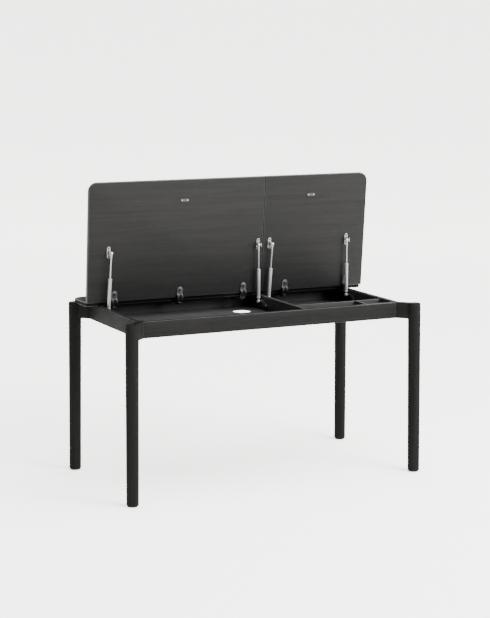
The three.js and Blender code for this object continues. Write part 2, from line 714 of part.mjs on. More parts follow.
// ---- Assembly ----
function lid({ name, span, hinges, walls, latchX }) {
  const leaf = new THREE.Group();
  leaf.position.set(0, LID_REAR_Y, TOP_Z);
  leaf.rotation.x = -LID_OPEN_ANGLE;
  leaf.add(piece(`${name}_lid`, lidPanel(...span), blackWood));
  hinges.forEach((x, i) => {
    leaf.add(piece(`${name}_hinge_leaf_${i + 1}`, hingeLeaf(x), darkSteel));
  });
  walls.forEach(({ label, wallX, side }) => {
    const made = lidBracket(side, eyeShiftOnClosing(wallX, side));
    const bracket = piece(`${name}_${label}_strut_lid_bracket`, made, steel);
    const x = wallX - side * (FOOT_STANDOFF + STRUT_LEAN_IN);
    bracket.position.set(x, -LID_PIVOT_DISTANCE, -LID_THICKNESS - LID_PIVOT_DROP);
    leaf.add(bracket);
  });
  leaf.add(piece(`${name}_strike_plate`, strikePlate(latchX), blackPlastic));
  return leaf;
}

function desk() {
  const whole = new THREE.Group();
  CORNERS.forEach((corner) => whole.add(legSet(corner)));
  whole.add(rails(), bays(), rearStrip());
  const leftEnd = LID_SEAM_X - LID_GAP / 2;
  const rightStart = LID_SEAM_X + LID_GAP / 2;
  const leftHinge = LEFT_HINGE_FROM_END - TOP_X;
  const seamHinge = LID_SEAM_X - LEFT_HINGE_FROM_SEAM;
  // The last hinge stands beside the right rail, which its leaf just clears.
  const railHinge = INNER_X - LEAF_RAIL_CLEARANCE - LEAF_WIDTH / 2;
  const lids = [
    {
      name: "left",
      span: [-TOP_X, leftEnd, -1],
      hinges: [leftHinge, (leftHinge + seamHinge) / 2, seamHinge],
      walls: [
        { label: "outer", wallX: -INNER_X, side: -1 },
        { label: "inner", wallX: PARTITION_LEFT, side: 1 },
      ],
      latchX: LID_SEAM_X - LEFT_LATCH_FROM_SEAM,
    },
    {
      name: "right",
      span: [rightStart, TOP_X, 1],
      hinges: [LID_SEAM_X + RIGHT_HINGE_FROM_SEAM, railHinge],
      walls: [
        { label: "inner", wallX: PARTITION_RIGHT, side: -1 },
        { label: "outer", wallX: INNER_X, side: 1 },
      ],
      latchX: LID_SEAM_X + RIGHT_LATCH_FROM_SEAM,
    },
  ];
  for (const flap of lids) {
    const { name, hinges, walls, latchX } = flap;
    whole.add(lid(flap), latch(name, latchX));
    walls.forEach(({ label, wallX, side }) => {
      whole.add(strut(`${name}_${label}_strut`, wallX, side));
    });
    hinges.forEach((x, i) => {
      const base = piece(`${name}_hinge_arm_${i + 1}`, hingeBase(x), darkSteel);
      base.position.set(0, LID_REAR_Y, TOP_Z);
      whole.add(base);
    });
  }
  return whole;
}

export default desk();
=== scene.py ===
"""Looks of a black lift-top writing desk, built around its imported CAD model.

Each piece of the desk is an eased, dressed copy of its CAD node or a detail set on one. Sizes
are in metres. X runs along the desk, -Y is the user's side and Z is up. The lids are open.
"""

import json
import logging
import math
from dataclasses import dataclass, field
from enum import Enum
from functools import lru_cache
from typing import Callable, Iterable, Sequence

import bmesh
import bpy
from mathutils import Matrix, Vector


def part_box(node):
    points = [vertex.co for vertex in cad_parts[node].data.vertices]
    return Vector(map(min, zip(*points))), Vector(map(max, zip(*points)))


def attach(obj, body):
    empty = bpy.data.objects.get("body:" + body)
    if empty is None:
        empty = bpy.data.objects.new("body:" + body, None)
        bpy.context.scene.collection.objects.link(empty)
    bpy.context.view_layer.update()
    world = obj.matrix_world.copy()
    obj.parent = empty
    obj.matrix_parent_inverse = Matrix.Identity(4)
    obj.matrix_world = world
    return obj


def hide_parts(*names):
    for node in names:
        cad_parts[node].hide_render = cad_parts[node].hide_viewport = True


LOG = logging.getLogger("desk")

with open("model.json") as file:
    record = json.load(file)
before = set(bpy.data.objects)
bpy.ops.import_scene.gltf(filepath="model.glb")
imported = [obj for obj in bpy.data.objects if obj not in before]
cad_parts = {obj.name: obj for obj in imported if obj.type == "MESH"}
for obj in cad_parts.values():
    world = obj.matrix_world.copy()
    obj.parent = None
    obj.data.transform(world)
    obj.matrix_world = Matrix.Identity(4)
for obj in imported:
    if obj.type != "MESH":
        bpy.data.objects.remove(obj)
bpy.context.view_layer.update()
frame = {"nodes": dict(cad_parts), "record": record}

MM = 0.001
LID_OPEN = math.radians(85)

BODY_OF = {
    node: body
    for body, nodes in frame["record"]["behaviour"]["bodies"].items()
    for node in nodes
}
JOINTS = {joint["name"]: joint for joint in frame["record"]["behaviour"]["joints"]}


class Grain(Enum):
    """The way that the wood's fibres run in a board; the value squeezes the pattern along it."""

    ALONG_DESK = (0.035, 1.0, 1.0)
    FRONT_TO_BACK = (1.0, 0.035, 1.0)
    UPRIGHT = (1.0, 1.0, 0.035)


class Drive(Enum):
    """The recess in a screw's head."""

    CROSS = "cross"
    HEX = "hex"


# ---------------------------------------------------------------------------- node graphs
class Graph:
    """A thin, typed way to place and join shader nodes in one tree."""

    def __init__(self, tree: bpy.types.NodeTree) -> None:
        """Wraps a node tree.

        Args:
            tree: The tree that nodes are added to.
        """
        self.tree = tree

    def add(self, kind: str, sockets: dict | None = None, **settings: object) -> bpy.types.Node:
        """Adds a node.

        Args:
            kind: The node's Blender type, such as "ShaderNodeMath".
            sockets: Input name or index to a value, or to an output that is joined to it.
            settings: The node's own properties.

        Returns:
            The new node.
        """
        node = self.tree.nodes.new(kind)
        for name, value in settings.items():
            setattr(node, name, value)
        for key, value in (sockets or {}).items():
            socket = node.inputs[key]
            if isinstance(value, bpy.types.NodeSocket):
                self.tree.links.new(value, socket)
            else:
                socket.default_value = value
        return node

    def maths(self, operation: str, first: object, second: object = 0.0) -> bpy.types.NodeSocket:
        """Adds a Math node.

        Args:
            operation: The Math node's operation.
            first: The first value or output.
            second: The second value or output.

        Returns:
            The node's output.
        """
        return self.add("ShaderNodeMath", {0: first, 1: second}, operation=operation).outputs[0]

    def span(
        self, value: object, low: float, high: float, start: float = 0.0, end: float = 1.0
    ) -> bpy.types.NodeSocket:
        """Maps a value from start..end to low..high, held at both ends.

        Args:
            value: The value that is mapped.
            low: What start becomes.
            high: What end becomes.
            start: The lowest value read.
            end: The highest value read.

        Returns:
            The node's output.
        """
        sockets = {"Value": value, "From Min": start, "From Max": end, "To Min": low, "To Max": high}
        return self.add("ShaderNodeMapRange", sockets).outputs[0]

    def blend(self, mask: object, first: object, second: object) -> bpy.types.NodeSocket:
        """Blends two colours.

        Args:
            mask: 0 for the first colour, 1 for the second.
            first: The first colour.
            second: The second colour.

        Returns:
            The blended colour.
        """
        node = self.add("ShaderNodeMix", {0: mask, 6: first, 7: second}, data_type="RGBA")
        return node.outputs[2]

    def noise(
        self, vector: object, scale: object, detail: float = 4.0, distortion: float = 0.0
    ) -> bpy.types.NodeSocket:
        """Adds a noise texture.

        Args:
            vector: Where the noise is read.
            scale: Its scale, per metre.
            detail: How many octaves it has.
            distortion: How far it is bent.

        Returns:
            The noise's value.
        """
        sockets = {"Vector": vector, "Scale": scale, "Detail": detail, "Distortion": distortion}
        return self.add("ShaderNodeTexNoise", sockets).outputs[0]


def effect(
    name: str,
    inputs: dict[str, float | None],
    outputs: Sequence[str],
    build: Callable[[Graph, bpy.types.Node], dict],
) -> bpy.types.NodeTree:
    """Makes a shader node group.

    Args:
        name: The group's name.
        inputs: Input name to its default, or None for a vector.
        outputs: The names of the float outputs.
        build: Fills the group and returns output name to the socket that feeds it.

    Returns:
        The group.
    """
    tree = bpy.data.node_groups.new(name, "ShaderNodeTree")
    for label, default in inputs.items():
        kind = "NodeSocketVector" if default is None else "NodeSocketFloat"
        socket = tree.interface.new_socket(label, in_out="INPUT", socket_type=kind)
        if default is not None:
            socket.default_value = default
    for label in outputs:
        tree.interface.new_socket(label, in_out="OUTPUT", socket_type="NodeSocketFloat")
    graph = Graph(tree)
    entry = graph.add("NodeGroupInput")
    graph.add("NodeGroupOutput", build(graph, entry))
    return tree


@lru_cache(maxsize=None)
def stained_grain() -> bpy.types.NodeTree:
    """The fibres, broad figure and open pores of stained wood.

    Returns:
        The node group, with outputs Fibre, Figure and Pores.
    """

    def build(graph: Graph, entry: bpy.types.Node) -> dict:
        """Fills the group."""
        vector = entry.outputs["Vector"]
        fine = graph.noise(vector, entry.outputs["Fibre Scale"], 5.0)
        broad = graph.noise(vector, entry.outputs["Figure Scale"], 3.0, 1.4)
        pores = graph.noise(vector, graph.maths("MULTIPLY", entry.outputs["Fibre Scale"], 1.7), 2.0)
        return {
            "Fibre": graph.span(fine, 0.0, 1.0, 0.3, 0.7),
            "Figure": graph.span(broad, 0.0, 1.0, 0.32, 0.68),
            "Pores": graph.span(pores, 0.0, 1.0, 0.6, 0.7),
        }

    inputs = {"Vector": None, "Fibre Scale": 500.0, "Figure Scale": 45.0}
    return effect("stained_grain", inputs, ("Fibre", "Figure", "Pores"), build)


@lru_cache(maxsize=None)
def handling_wear() -> bpy.types.NodeTree:
    """Soft smudges and fine specks, as on a surface that has been handled and dusted.

    Returns:
        The node group, with outputs Smudge and Speck.
    """

    def build(graph: Graph, entry: bpy.types.Node) -> dict:
        """Fills the group."""
        vector = entry.outputs["Vector"]
        cloud = graph.noise(vector, entry.outputs["Smudge Scale"], 3.0, 0.6)
        grit = graph.noise(vector, entry.outputs["Speck Scale"], 2.0)
        return {
            "Smudge": graph.span(cloud, 0.0, 1.0, 0.4, 0.66),
            "Speck": graph.span(grit, 0.0, 1.0, 0.66, 0.76),
        }

    inputs = {"Vector": None, "Smudge Scale": 7.0, "Speck Scale": 900.0}
    return effect("handling_wear", inputs, ("Smudge", "Speck"), build)


@lru_cache(maxsize=None)
def drawn_metal() -> bpy.types.NodeTree:
    """The mottle of plating and the fine lines that drawing or rolling leaves.

    Returns:
        The node group, with outputs Mottle and Lines.
    """

    def build(graph: Graph, entry: bpy.types.Node) -> dict:
        """Fills the group."""
        vector = entry.outputs["Vector"]
        spangle = graph.noise(vector, entry.outputs["Mottle Scale"], 3.0, 0.8)
        stretch = graph.add("ShaderNodeMapping", {"Vector": vector, "Scale": (1.0, 1.0, 0.06)})
        lines = graph.noise(stretch.outputs[0], entry.outputs["Line Scale"], 3.0)
        return {
            "Mottle": graph.span(spangle, 0.0, 1.0, 0.35, 0.65),
            "Lines": graph.span(lines, 0.0, 1.0, 0.35, 0.65),
        }

    inputs = {"Vector": None, "Mottle Scale": 260.0, "Line Scale": 2200.0}
    return effect("drawn_metal", inputs, ("Mottle", "Lines"), build)


# ---------------------------------------------------------------------------- finishes
@dataclass(frozen=True)
class Finish:
    """What every finish has: two tones that it varies between, and how rough it is."""

    name: str
    dark: tuple[float, float, float, float]
    light: tuple[float, float, float, float]
    smooth: float
    rough: float

    def start(self) -> tuple[Graph, bpy.types.Material, bpy.types.NodeSocket]:
        """Makes an empty material.

        Returns:
            Its graph, the material, and the object coordinates.
        """
        material = bpy.data.materials.new(self.name)
        material.use_nodes = True
        material.node_tree.nodes.clear()
        graph = Graph(material.node_tree)
        return graph, material, graph.add("ShaderNodeTexCoord").outputs["Object"]

    def surface(self, graph: Graph, sockets: dict) -> None:
        """Joins the shader to the material's output.

        Args:
            graph: The material's graph.
            sockets: What the Principled shader's sockets hold.
        """
        shader = graph.add("ShaderNodeBsdfPrincipled", sockets)
        graph.add("ShaderNodeOutputMaterial", {"Surface": shader.outputs[0]})


@dataclass(frozen=True)
class StainedWood(Finish):
    """Black-stained wood under a thin satin lacquer."""

    grain: Grain = Grain.ALONG_DESK
    figure_scale: float = 42.0
    relief: float = 0.25
    shine: float = 0.13

    @lru_cache(maxsize=None)
    def material(self) -> bpy.types.Material:
        """Builds the wood's material.

        Returns:
            The material.
        """
        graph, material, place = self.start()
        along = graph.add("ShaderNodeMapping", {"Vector": place, "Scale": self.grain.value})
        grain = graph.add(
            "ShaderNodeGroup",
            {"Vector": along.outputs[0], "Fibre Scale": 480.0, "Figure Scale": self.figure_scale},
            node_tree=stained_grain(),
        )
        wear = graph.add("ShaderNodeGroup", {"Vector": place}, node_tree=handling_wear())
        tone = graph.maths("MULTIPLY", grain.outputs["Figure"], 0.6)
        tone = graph.maths("ADD", tone, graph.maths("MULTIPLY", grain.outputs["Fibre"], 0.4))
        stained = graph.blend(tone, self.dark, self.light)
        pore_mask = graph.maths("MULTIPLY", grain.outputs["Pores"], 0.6)
        stained = graph.blend(pore_mask, stained, tuple(c * 0.4 for c in self.dark[:3]) + (1.0,))
        speck = graph.maths("MULTIPLY", wear.outputs["Speck"], 0.04)
        stained = graph.blend(speck, stained, (0.2, 0.19, 0.18, 1.0))
        gloss = graph.span(grain.outputs["Fibre"], self.smooth, self.rough)
        gloss = graph.maths("ADD", gloss, graph.maths("MULTIPLY", wear.outputs["Smudge"], 0.06))
        height = graph.maths("SUBTRACT", grain.outputs["Fibre"], grain.outputs["Pores"])
        bump = graph.add(
            "ShaderNodeBump", {"Strength": self.relief, "Distance": 0.0003, "Height": height}
        )
        self.surface(
            graph,
            {
                "Base Color": stained,
                "Roughness": gloss,
                "Normal": bump.outputs[0],
                "Specular IOR Level": self.shine,
            },
        )
        return material


@dataclass(frozen=True)
class EndGrain(Finish):
    """Wood cut across its fibres: growth bands, and pores that drank the stain."""

    @lru_cache(maxsize=None)
    def material(self) -> bpy.types.Material:
        """Builds the end grain's material.

        Returns:
            The material.
        """
        graph, material, place = self.start()
        bands = graph.add(
            "ShaderNodeTexWave",
            {"Vector": place, "Scale": 60.0, "Distortion": 2.5, "Detail": 3.0, "Detail Scale": 1.5},
            bands_direction="DIAGONAL",
        ).outputs["Fac"]
        pores = graph.span(graph.noise(place, 1400.0, 2.0), 0.0, 1.0, 0.55, 0.68)
        stained = graph.blend(bands, self.dark, self.light)
        soaked = graph.maths("MULTIPLY", pores, 0.7)
        stained = graph.blend(soaked, stained, grey(0.001))
        height = graph.maths("SUBTRACT", graph.maths("MULTIPLY", bands, 0.4), pores)
        bump = graph.add("ShaderNodeBump", {"Strength": 0.3, "Distance": 0.0002, "Height": height})
        gloss = graph.span(bands, self.smooth, self.rough)
        self.surface(
            graph,
            {
                "Base Color": stained,
                "Roughness": gloss,
                "Normal": bump.outputs[0],
                "Specular IOR Level": 0.04,
            },
        )
        return material


@dataclass(frozen=True)
class CoatedBoard(Finish):
    """A thin hardboard panel with a matt, faintly leathery coating."""

    @lru_cache(maxsize=None)
    def material(self) -> bpy.types.Material:
        """Builds the board's material.

        Returns:
            The material.
        """
        graph, material, place = self.start()
        wear = graph.add(
            "ShaderNodeGroup", {"Vector": place, "Smudge Scale": 5.0}, node_tree=handling_wear()
        )
        pebble = graph.noise(place, 1100.0, 2.0)
        tone = graph.blend(wear.outputs["Smudge"], self.dark, self.light)
        dust = graph.maths("MULTIPLY", wear.outputs["Speck"], 0.08)
        tone = graph.blend(dust, tone, (0.25, 0.24, 0.22, 1.0))
        bump = graph.add("ShaderNodeBump", {"Strength": 0.2, "Distance": 0.0002, "Height": pebble})
        gloss = graph.span(pebble, self.smooth, self.rough, 0.3, 0.7)
        self.surface(
            graph,
            {
                "Base Color": tone,
                "Roughness": gloss,
                "Normal": bump.outputs[0],
                "Specular IOR Level": 0.1,
            },
        )
        return material


@dataclass(frozen=True)
class Metal(Finish):
    """Plated, painted or polished metal."""

    metallic: float = 1.0
    mottle_scale: float = 260.0
    relief: float = 0.08

    @lru_cache(maxsize=None)
    def material(self) -> bpy.types.Material:
        """Builds the metal's material.

        Returns:
            The material.
        """
        graph, material, place = self.start()
        drawn = graph.add(
            "ShaderNodeGroup",
            {"Vector": place, "Mottle Scale": self.mottle_scale},
            node_tree=drawn_metal(),
        )
        wear = graph.add(
            "ShaderNodeGroup", {"Vector": place, "Smudge Scale": 60.0}, node_tree=handling_wear()
        )
        tone = graph.blend(drawn.outputs["Mottle"], self.dark, self.light)
        gloss = graph.span(drawn.outputs["Lines"], self.smooth, self.rough)
        gloss = graph.maths("ADD", gloss, graph.maths("MULTIPLY", wear.outputs["Smudge"], 0.08))
        bump = graph.add(
            "ShaderNodeBump",
            {"Strength": self.relief, "Distance": 0.0001, "Height": drawn.outputs["Lines"]},
        )
        self.surface(
            graph,
            {
                "Base Color": tone,
                "Metallic": self.metallic,
                "Roughness": gloss,
                "Normal": bump.outputs[0],
            },
        )
        return material


@dataclass(frozen=True)
class MouldedPlastic(Finish):
    """Moulded plastic with a fine spark-eroded texture."""

    @lru_cache(maxsize=None)
    def material(self) -> bpy.types.Material:
        """Builds the plastic's material.

        Returns:
            The material.
        """
        graph, material, place = self.start()
        wear = graph.add(
            "ShaderNodeGroup", {"Vector": place, "Smudge Scale": 40.0}, node_tree=handling_wear()
        )
        texture = graph.noise(place, 2400.0, 2.0)
        tone = graph.blend(wear.outputs["Smudge"], self.dark, self.light)
        bump = graph.add("ShaderNodeBump", {"Strength": 0.15, "Distance": 0.0001, "Height": texture})
        gloss = graph.span(texture, self.smooth, self.rough, 0.3, 0.7)
        self.surface(graph, {"Base Color": tone, "Roughness": gloss, "Normal": bump.outputs[0]})
        return material


def grey(value: float, warmth: float = 0.0) -> tuple[float, float, float, float]:
    """A grey, turned a little warm or cool.

    Args:
        value: Its brightness, linear.
        warmth: How much more red than blue it has, as a share.

    Returns:
        The colour.
    """
    return (value * (1 + warmth), value, value * (1 - warmth), 1.0)


def board_wood(grain: Grain) -> StainedWood:
    """The flat of a stained board.

    Args:
        grain: How its fibres run.

    Returns:
        The finish.
    """
    name = f"black_wood_{grain.name.lower()}"
    return StainedWood(name, grey(0.005), grey(0.01, 0.03), 0.48, 0.62, grain, shine=0.04)


def painted_fill_inner_wood(grain: Grain) -> StainedWood:
    """The wood inside the bays, painted lighter than the same wood outside: painted fill light for the
    shade in the bays.

    Args:
        grain: How its fibres run.

    Returns:
        The finish.
    """
    name = f"inner_wood_{grain.name.lower()}"
    # Four times lighter than the outer faces' wood: painted fill light for the shade inside the bays.
    return StainedWood(name, grey(0.02), grey(0.031, 0.03), 0.5, 0.64, grain, shine=0.05)


def worn_wood(grain: Grain) -> StainedWood:
    """A board's eased edge, where handling has polished and thinned the stain.

    Args:
        grain: How its fibres run.

    Returns:
        The finish.
    """
    name = f"eased_edge_{grain.name.lower()}"
    return StainedWood(name, grey(0.008, 0.04), grey(0.02, 0.06), 0.3, 0.42, grain, shine=0.4)


LID_WOOD = StainedWood(
    "lid_veneer", grey(0.0065), grey(0.011, 0.02), 0.36, 0.48, Grain.ALONG_DESK, shine=0.1
)
# The rear strip's veneer is painted darker than the lids': painted shade from the open lids over it.
SHADED_STRIP_WOOD = StainedWood(
    "strip_veneer_painted_shade", grey(0.003), grey(0.006, 0.02), 0.56, 0.7, Grain.ALONG_DESK, shine=0.02
)
END_GRAIN = EndGrain("black_end_grain", grey(0.002), grey(0.005), 0.6, 0.75)
LEG_WOOD = StainedWood(
    "leg_wood", grey(0.0036), grey(0.0078, 0.03), 0.58, 0.72, Grain.UPRIGHT, shine=0.035
)
BOARD = CoatedBoard("bay_bottom_coating", grey(0.026), grey(0.036), 0.5, 0.62)
BOARD_EDGE = CoatedBoard("bay_bottom_edge", grey(0.01, 0.05), grey(0.016, 0.06), 0.55, 0.7)
ZINC = Metal("zinc_plate", grey(0.24, 0.02), grey(0.36, -0.01), 0.26, 0.4)
ZINC_EDGE = Metal("zinc_plate_edge", grey(0.42), grey(0.52), 0.2, 0.3)
DULL_ZINC = Metal("dull_zinc", grey(0.1), grey(0.16), 0.34, 0.48)
STRUT_PAINT = Metal(
    "strut_paint", grey(0.26), grey(0.31), 0.3, 0.4, metallic=0.5, mottle_scale=900.0
)
GROUND_ROD = Metal("ground_rod", grey(0.36), grey(0.42), 0.26, 0.36, metallic=0.5, relief=0.03)
LEAF_STEEL = Metal("leaf_steel", grey(0.045), grey(0.08), 0.34, 0.48)
LEAF_EDGE = Metal("leaf_steel_edge", grey(0.08), grey(0.13), 0.32, 0.44)
SCREW_BLACK = Metal("blackened_screw", grey(0.003), grey(0.006), 0.6, 0.75)
DARK_STEEL = Metal("dark_steel", grey(0.012), grey(0.025), 0.4, 0.55)
PLASTIC = MouldedPlastic("moulded_black_plastic", grey(0.008), grey(0.014), 0.42, 0.55)


# ---------------------------------------------------------------------------- mesh tools
@dataclass(frozen=True)
class Dress:
    """How a piece is eased and dressed: its flat, its eased edge, and a third finish on chosen faces: end
    grain on legs and necks, painted fill light on the rails' inward faces, painted shade on the hinge
    leaves' shoes.
    """

    flat: Finish
    edge: Finish
    ease: float = 0.4 * MM
    segments: int = 2
    # Third finish, for the faces picked below: end grain on legs and necks, painted fill light on rails,
    # painted shade on hinge shoes.
    end: Finish | None = None
    end_grain_and_painted_light_faces: Callable[[bmesh.types.BMFace], bool] = lambda face: face.normal.z > 0.9


def add_object(name: str, mesh: bpy.types.Mesh) -> bpy.types.Object:
    """Puts a mesh into the scene.

    Args:
        name: The new object's name.
        mesh: The mesh.

    Returns:
        The object.
    """
    piece = bpy.data.objects.new(name, mesh)
    bpy.context.scene.collection.objects.link(piece)
    return piece


def smooth_by_angle(mesh: bpy.types.Mesh, degrees: float = 32.0) -> None:
    """Shades a mesh smooth, apart from its hard edges.

    Args:
        mesh: The mesh.
        degrees: How much two faces turn at a hard edge.
    """
    mesh.polygons.foreach_set("use_smooth", [True] * len(mesh.polygons))
    mesh.set_sharp_from_angle(angle=math.radians(degrees))


def eased_copy(node: str, name: str, dress: Dress) -> bpy.types.Object:
    """Copies a CAD node, rounds its edges, dresses it, and lets it stand for the node.

    Args:
        node: The CAD node.
        name: The new piece's name.
        dress: What it wears.

    Returns:
        The piece.
    """
    shape = bmesh.new()
    shape.from_mesh(frame["nodes"][node].data)
    bmesh.ops.remove_doubles(shape, verts=shape.verts, dist=0.01 * MM)
    bmesh.ops.dissolve_limit(
        shape, angle_limit=math.radians(0.8), verts=shape.verts, edges=shape.edges
    )
    # The picked faces take the third finish: end grain, painted fill light or painted shade, as the dress
    # gives.
    if dress.end is not None:
        for face in shape.faces:
            if dress.end_grain_and_painted_light_faces(face):
                face.material_index = 2
    mesh = bpy.data.meshes.new(name)
    shape.to_mesh(mesh)
    shape.free()
    for finish in (dress.flat, dress.edge, dress.end):
        if finish is not None:
            mesh.materials.append(finish.material())
    piece = add_object(name, mesh)
    bevel = piece.modifiers.new("eased_edges", "BEVEL")
    bevel.width = dress.ease
    bevel.segments = dress.segments
    bevel.limit_method = "ANGLE"
    bevel.angle_limit = math.radians(28)
    bevel.material = 1
    bevel.use_clamp_overlap = True
    depsgraph = bpy.context.evaluated_depsgraph_get()
    rounded = bpy.data.meshes.new_from_object(piece.evaluated_get(depsgraph))
    piece.modifiers.clear()
    piece.data = rounded
    rounded.name = name
    smooth_by_angle(rounded)
    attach(piece, BODY_OF[node])
    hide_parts(node)
    LOG.info("%s stands for %s", name, node)
    return piece


def fitted(
    piece: bpy.types.Object, node: str, finish: Finish
) -> bpy.types.Object:
    """Dresses an added detail, which rides with the node that it sits on.

    Args:
        piece: The detail.
        node: The CAD node that it sits on.
        finish: What it wears.

    Returns:
        The piece.
    """
    piece.data.materials.append(finish.material())
    smooth_by_angle(piece.data)
    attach(piece, BODY_OF[node])
    LOG.info("%s sits on %s", piece.name, node)
    return piece


def ring_of(
    shape: bmesh.types.BMesh, radius: float, height: float, sides: int
) -> list[bmesh.types.BMVert]:
    """Adds a ring of points about the Z axis.

    Args:
        shape: The mesh that they are added to.
        radius: The ring's radius.
        height: Its height.
        sides: How many points it has.

    Returns:
        The points, anticlockwise.
    """
    angles = (2 * math.pi * i / sides for i in range(sides))
    return [shape.verts.new((radius * math.cos(a), radius * math.sin(a), height)) for a in angles]


def turned(
    name: str, profile: Sequence[tuple[float, float]], place: Matrix, segments: int = 40
) -> bpy.types.Object:
    """Turns a closed profile about the Z axis.

    Args:
        name: The piece's name.
        profile: Radius and height of each point in metres, closed from the last to the first
            when none of them is on the axis.
        place: Where the turned shape goes.
        segments: How many sides it has.

    Returns:
        The piece.
    """
    shape = bmesh.new()
    rings = []
    for radius, height in profile:
        if radius < 1e-7:
            rings.append([shape.verts.new((0.0, 0.0, height))])
            continue
        rings.append(ring_of(shape, radius, height, segments))
    pairs = list(zip(rings, rings[1:]))
    if len(rings[0]) > 1 and len(rings[-1]) > 1:
        pairs.append((rings[-1], rings[0]))
    for low, high in pairs:
        for i in range(segments):
            j = (i + 1) % segments
            corners = (low[i % len(low)], low[j % len(low)], high[j % len(high)], high[i % len(high)])
            shape.faces.new(list(dict.fromkeys(corners)))
    bmesh.ops.recalc_face_normals(shape, faces=shape.faces)
    shape.transform(place)
    mesh = bpy.data.meshes.new(name)
    shape.to_mesh(mesh)
    shape.free()
    return add_object(name, mesh)


@dataclass
class ScrewHead:
    """A low domed head with a driver's recess, drawn on +Z from the surface that it sits on."""

    radius: float = 4.2 * MM
    height: float = 1.7 * MM
    drive: Drive = Drive.CROSS
    sides: int = 32

    def recess(self) -> list[tuple[float, float]]:
        """The outline of the recess.

        Returns:
            Its corners, anticlockwise.
        """
        if self.drive is Drive.HEX:
            reach = self.radius * 0.5
            turns = [math.pi / 3 * i for i in range(6)]
            return [(reach * math.cos(a), reach * math.sin(a)) for a in turns]
        reach, half = self.radius * 0.5, self.radius * 0.13
        arm = [(reach, -half), (reach, half), (half, half)]
        corners = []
        for quarter in range(4):
            c, s = (1, 0, -1, 0)[quarter], (0, 1, 0, -1)[quarter]
            corners += [(x * c - y * s, x * s + y * c) for x, y in arm]
        return corners

    def build(self, name: str, place: Matrix) -> bpy.types.Object:
        """Builds the head.

        Args:
            name: The piece's name.
            place: Where the head goes.

        Returns:
            The piece.
        """
        shape = bmesh.new()
        rings = []
        for share, level in ((1.0, 0.0), (1.0, 0.35), (0.93, 0.62), (0.8, 0.84), (0.62, 1.0)):
            rings.append(ring_of(shape, self.radius * share, self.height * level, self.sides))
        for low, high in zip(rings, rings[1:]):
            for i in range(self.sides):
                j = (i + 1) % self.sides
                shape.faces.new((low[i], low[j], high[j], high[i]))
        shape.faces.new(list(reversed(rings[0])))
        outline = self.recess()
        rim = [shape.verts.new((x, y, self.height)) for x, y in outline]
        floor = [shape.verts.new((x * 0.8, y * 0.8, self.height * 0.3)) for x, y in outline]
        count = len(rim)
        edges = [shape.edges.new((rim[i], rim[(i + 1) % count])) for i in range(count)]
        top = rings[-1]
        edges += [shape.edges.get((top[i], top[(i + 1) % self.sides])) for i in range(self.sides)]
        bmesh.ops.triangle_fill(shape, edges=edges, use_beauty=True)
        for i in range(count):
            j = (i + 1) % count
            shape.faces.new((rim[j], rim[i], floor[i], floor[j]))
        shape.faces.new(floor)
        middle = [f for f in shape.faces if f.normal.length and all(v in rim for v in f.verts)]
        bmesh.ops.delete(shape, geom=middle, context="FACES_ONLY")
        bmesh.ops.recalc_face_normals(shape, faces=shape.faces)
        shape.transform(place)
        mesh = bpy.data.meshes.new(name)
        shape.to_mesh(mesh)
        shape.free()
        return add_object(name, mesh)


def facing(axis: Vector, place: Vector) -> Matrix:
    """A matrix that turns +Z along an axis and moves to a place.

    Args:
        axis: Where +Z goes.
        place: Where the origin goes.

    Returns:
        The matrix.
    """
    return Matrix.Translation(place) @ Vector((0, 0, 1)).rotation_difference(axis).to_matrix().to_4x4()


def lid_frame(side: str) -> Matrix:
    """The shut lid's own axes, as they stand while the lid is open.

    Args:
        side: "left" or "right".

    Returns:
        From the shut lid's axes, with Y and Z from its top rear edge, to the desk's.
    """
    pivot = Vector(JOINTS[f"{side}_lid_hinge"]["pos_m"])
    return Matrix.Translation(pivot) @ Matrix.Rotation(-LID_OPEN, 4, "X")


def box_in(node: str, axes: Matrix) -> tuple[Vector, Vector]:
    """A node's box along other axes than the desk's.

    Args:
        node: The CAD node.
        axes: From those axes to the desk's.

    Returns:
        The lowest and highest corners.
    """
    back = axes.inverted()
    points = [back @ vertex.co for vertex in frame["nodes"][node].data.vertices]
    low = Vector([min(p[i] for p in points) for i in range(3)])
    high = Vector([max(p[i] for p in points) for i in range(3)])
    return low, high


# ---------------------------------------------------------------------------- the desk
@dataclass
class LegCorner:
    """A turned leg, the diagonal neck that carries it, its bolt and its foot glide."""

    corner: str
    bolt_head: ScrewHead = field(default_factory=lambda: ScrewHead(7.8 * MM, 5.6 * MM, Drive.HEX))
    bolt_head_seat: float = 4.9 * MM

    def build(self) -> None:
        """Builds the corner's pieces."""
        edge = worn_wood(Grain.UPRIGHT)
        corner = self.corner
        leg_dress = Dress(LEG_WOOD, edge, 0.5 * MM, 2, END_GRAIN)
        neck_dress = Dress(LEG_WOOD, edge, 0.7 * MM, 2, END_GRAIN)
        eased_copy(f"leg_{corner}", f"turned_leg_{corner}", leg_dress)
        eased_copy(f"neck_{corner}", f"neck_block_{corner}", neck_dress)
        eased_copy(f"foot_glide_{corner}", f"nylon_glide_{corner}", Dress(PLASTIC, PLASTIC, 0.6 * MM, 3))
        shank_dress = Dress(DARK_STEEL, LEAF_STEEL, 0.3 * MM)
        eased_copy(f"leg_bolt_{corner}", f"bolt_shank_{corner}", shank_dress)
        self.add_bolt_head()

    def add_bolt_head(self) -> None:
        """Adds the bolt's head, on the inner end of its shank."""
        bolt = f"leg_bolt_{self.corner}"
        low, high = (Vector(c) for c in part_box(bolt))
        right = math.copysign(1, low.x + high.x)
        back = math.copysign(1, low.y + high.y)
        outward = Vector((right, back, 0)).normalized()
        spread = (high.z - low.z) / 2 / math.sqrt(2)
        near_x = min(abs(low.x), abs(high.x)) + spread
        near_y = min(abs(low.y), abs(high.y)) + spread
        centre = Vector((near_x * right, near_y * back, (low.z + high.z) / 2))
        seat = centre + outward * self.bolt_head_seat
        head = self.bolt_head.build(f"bolt_head_{self.corner}", facing(-outward, seat))
        fitted(head, bolt, DARK_STEEL)


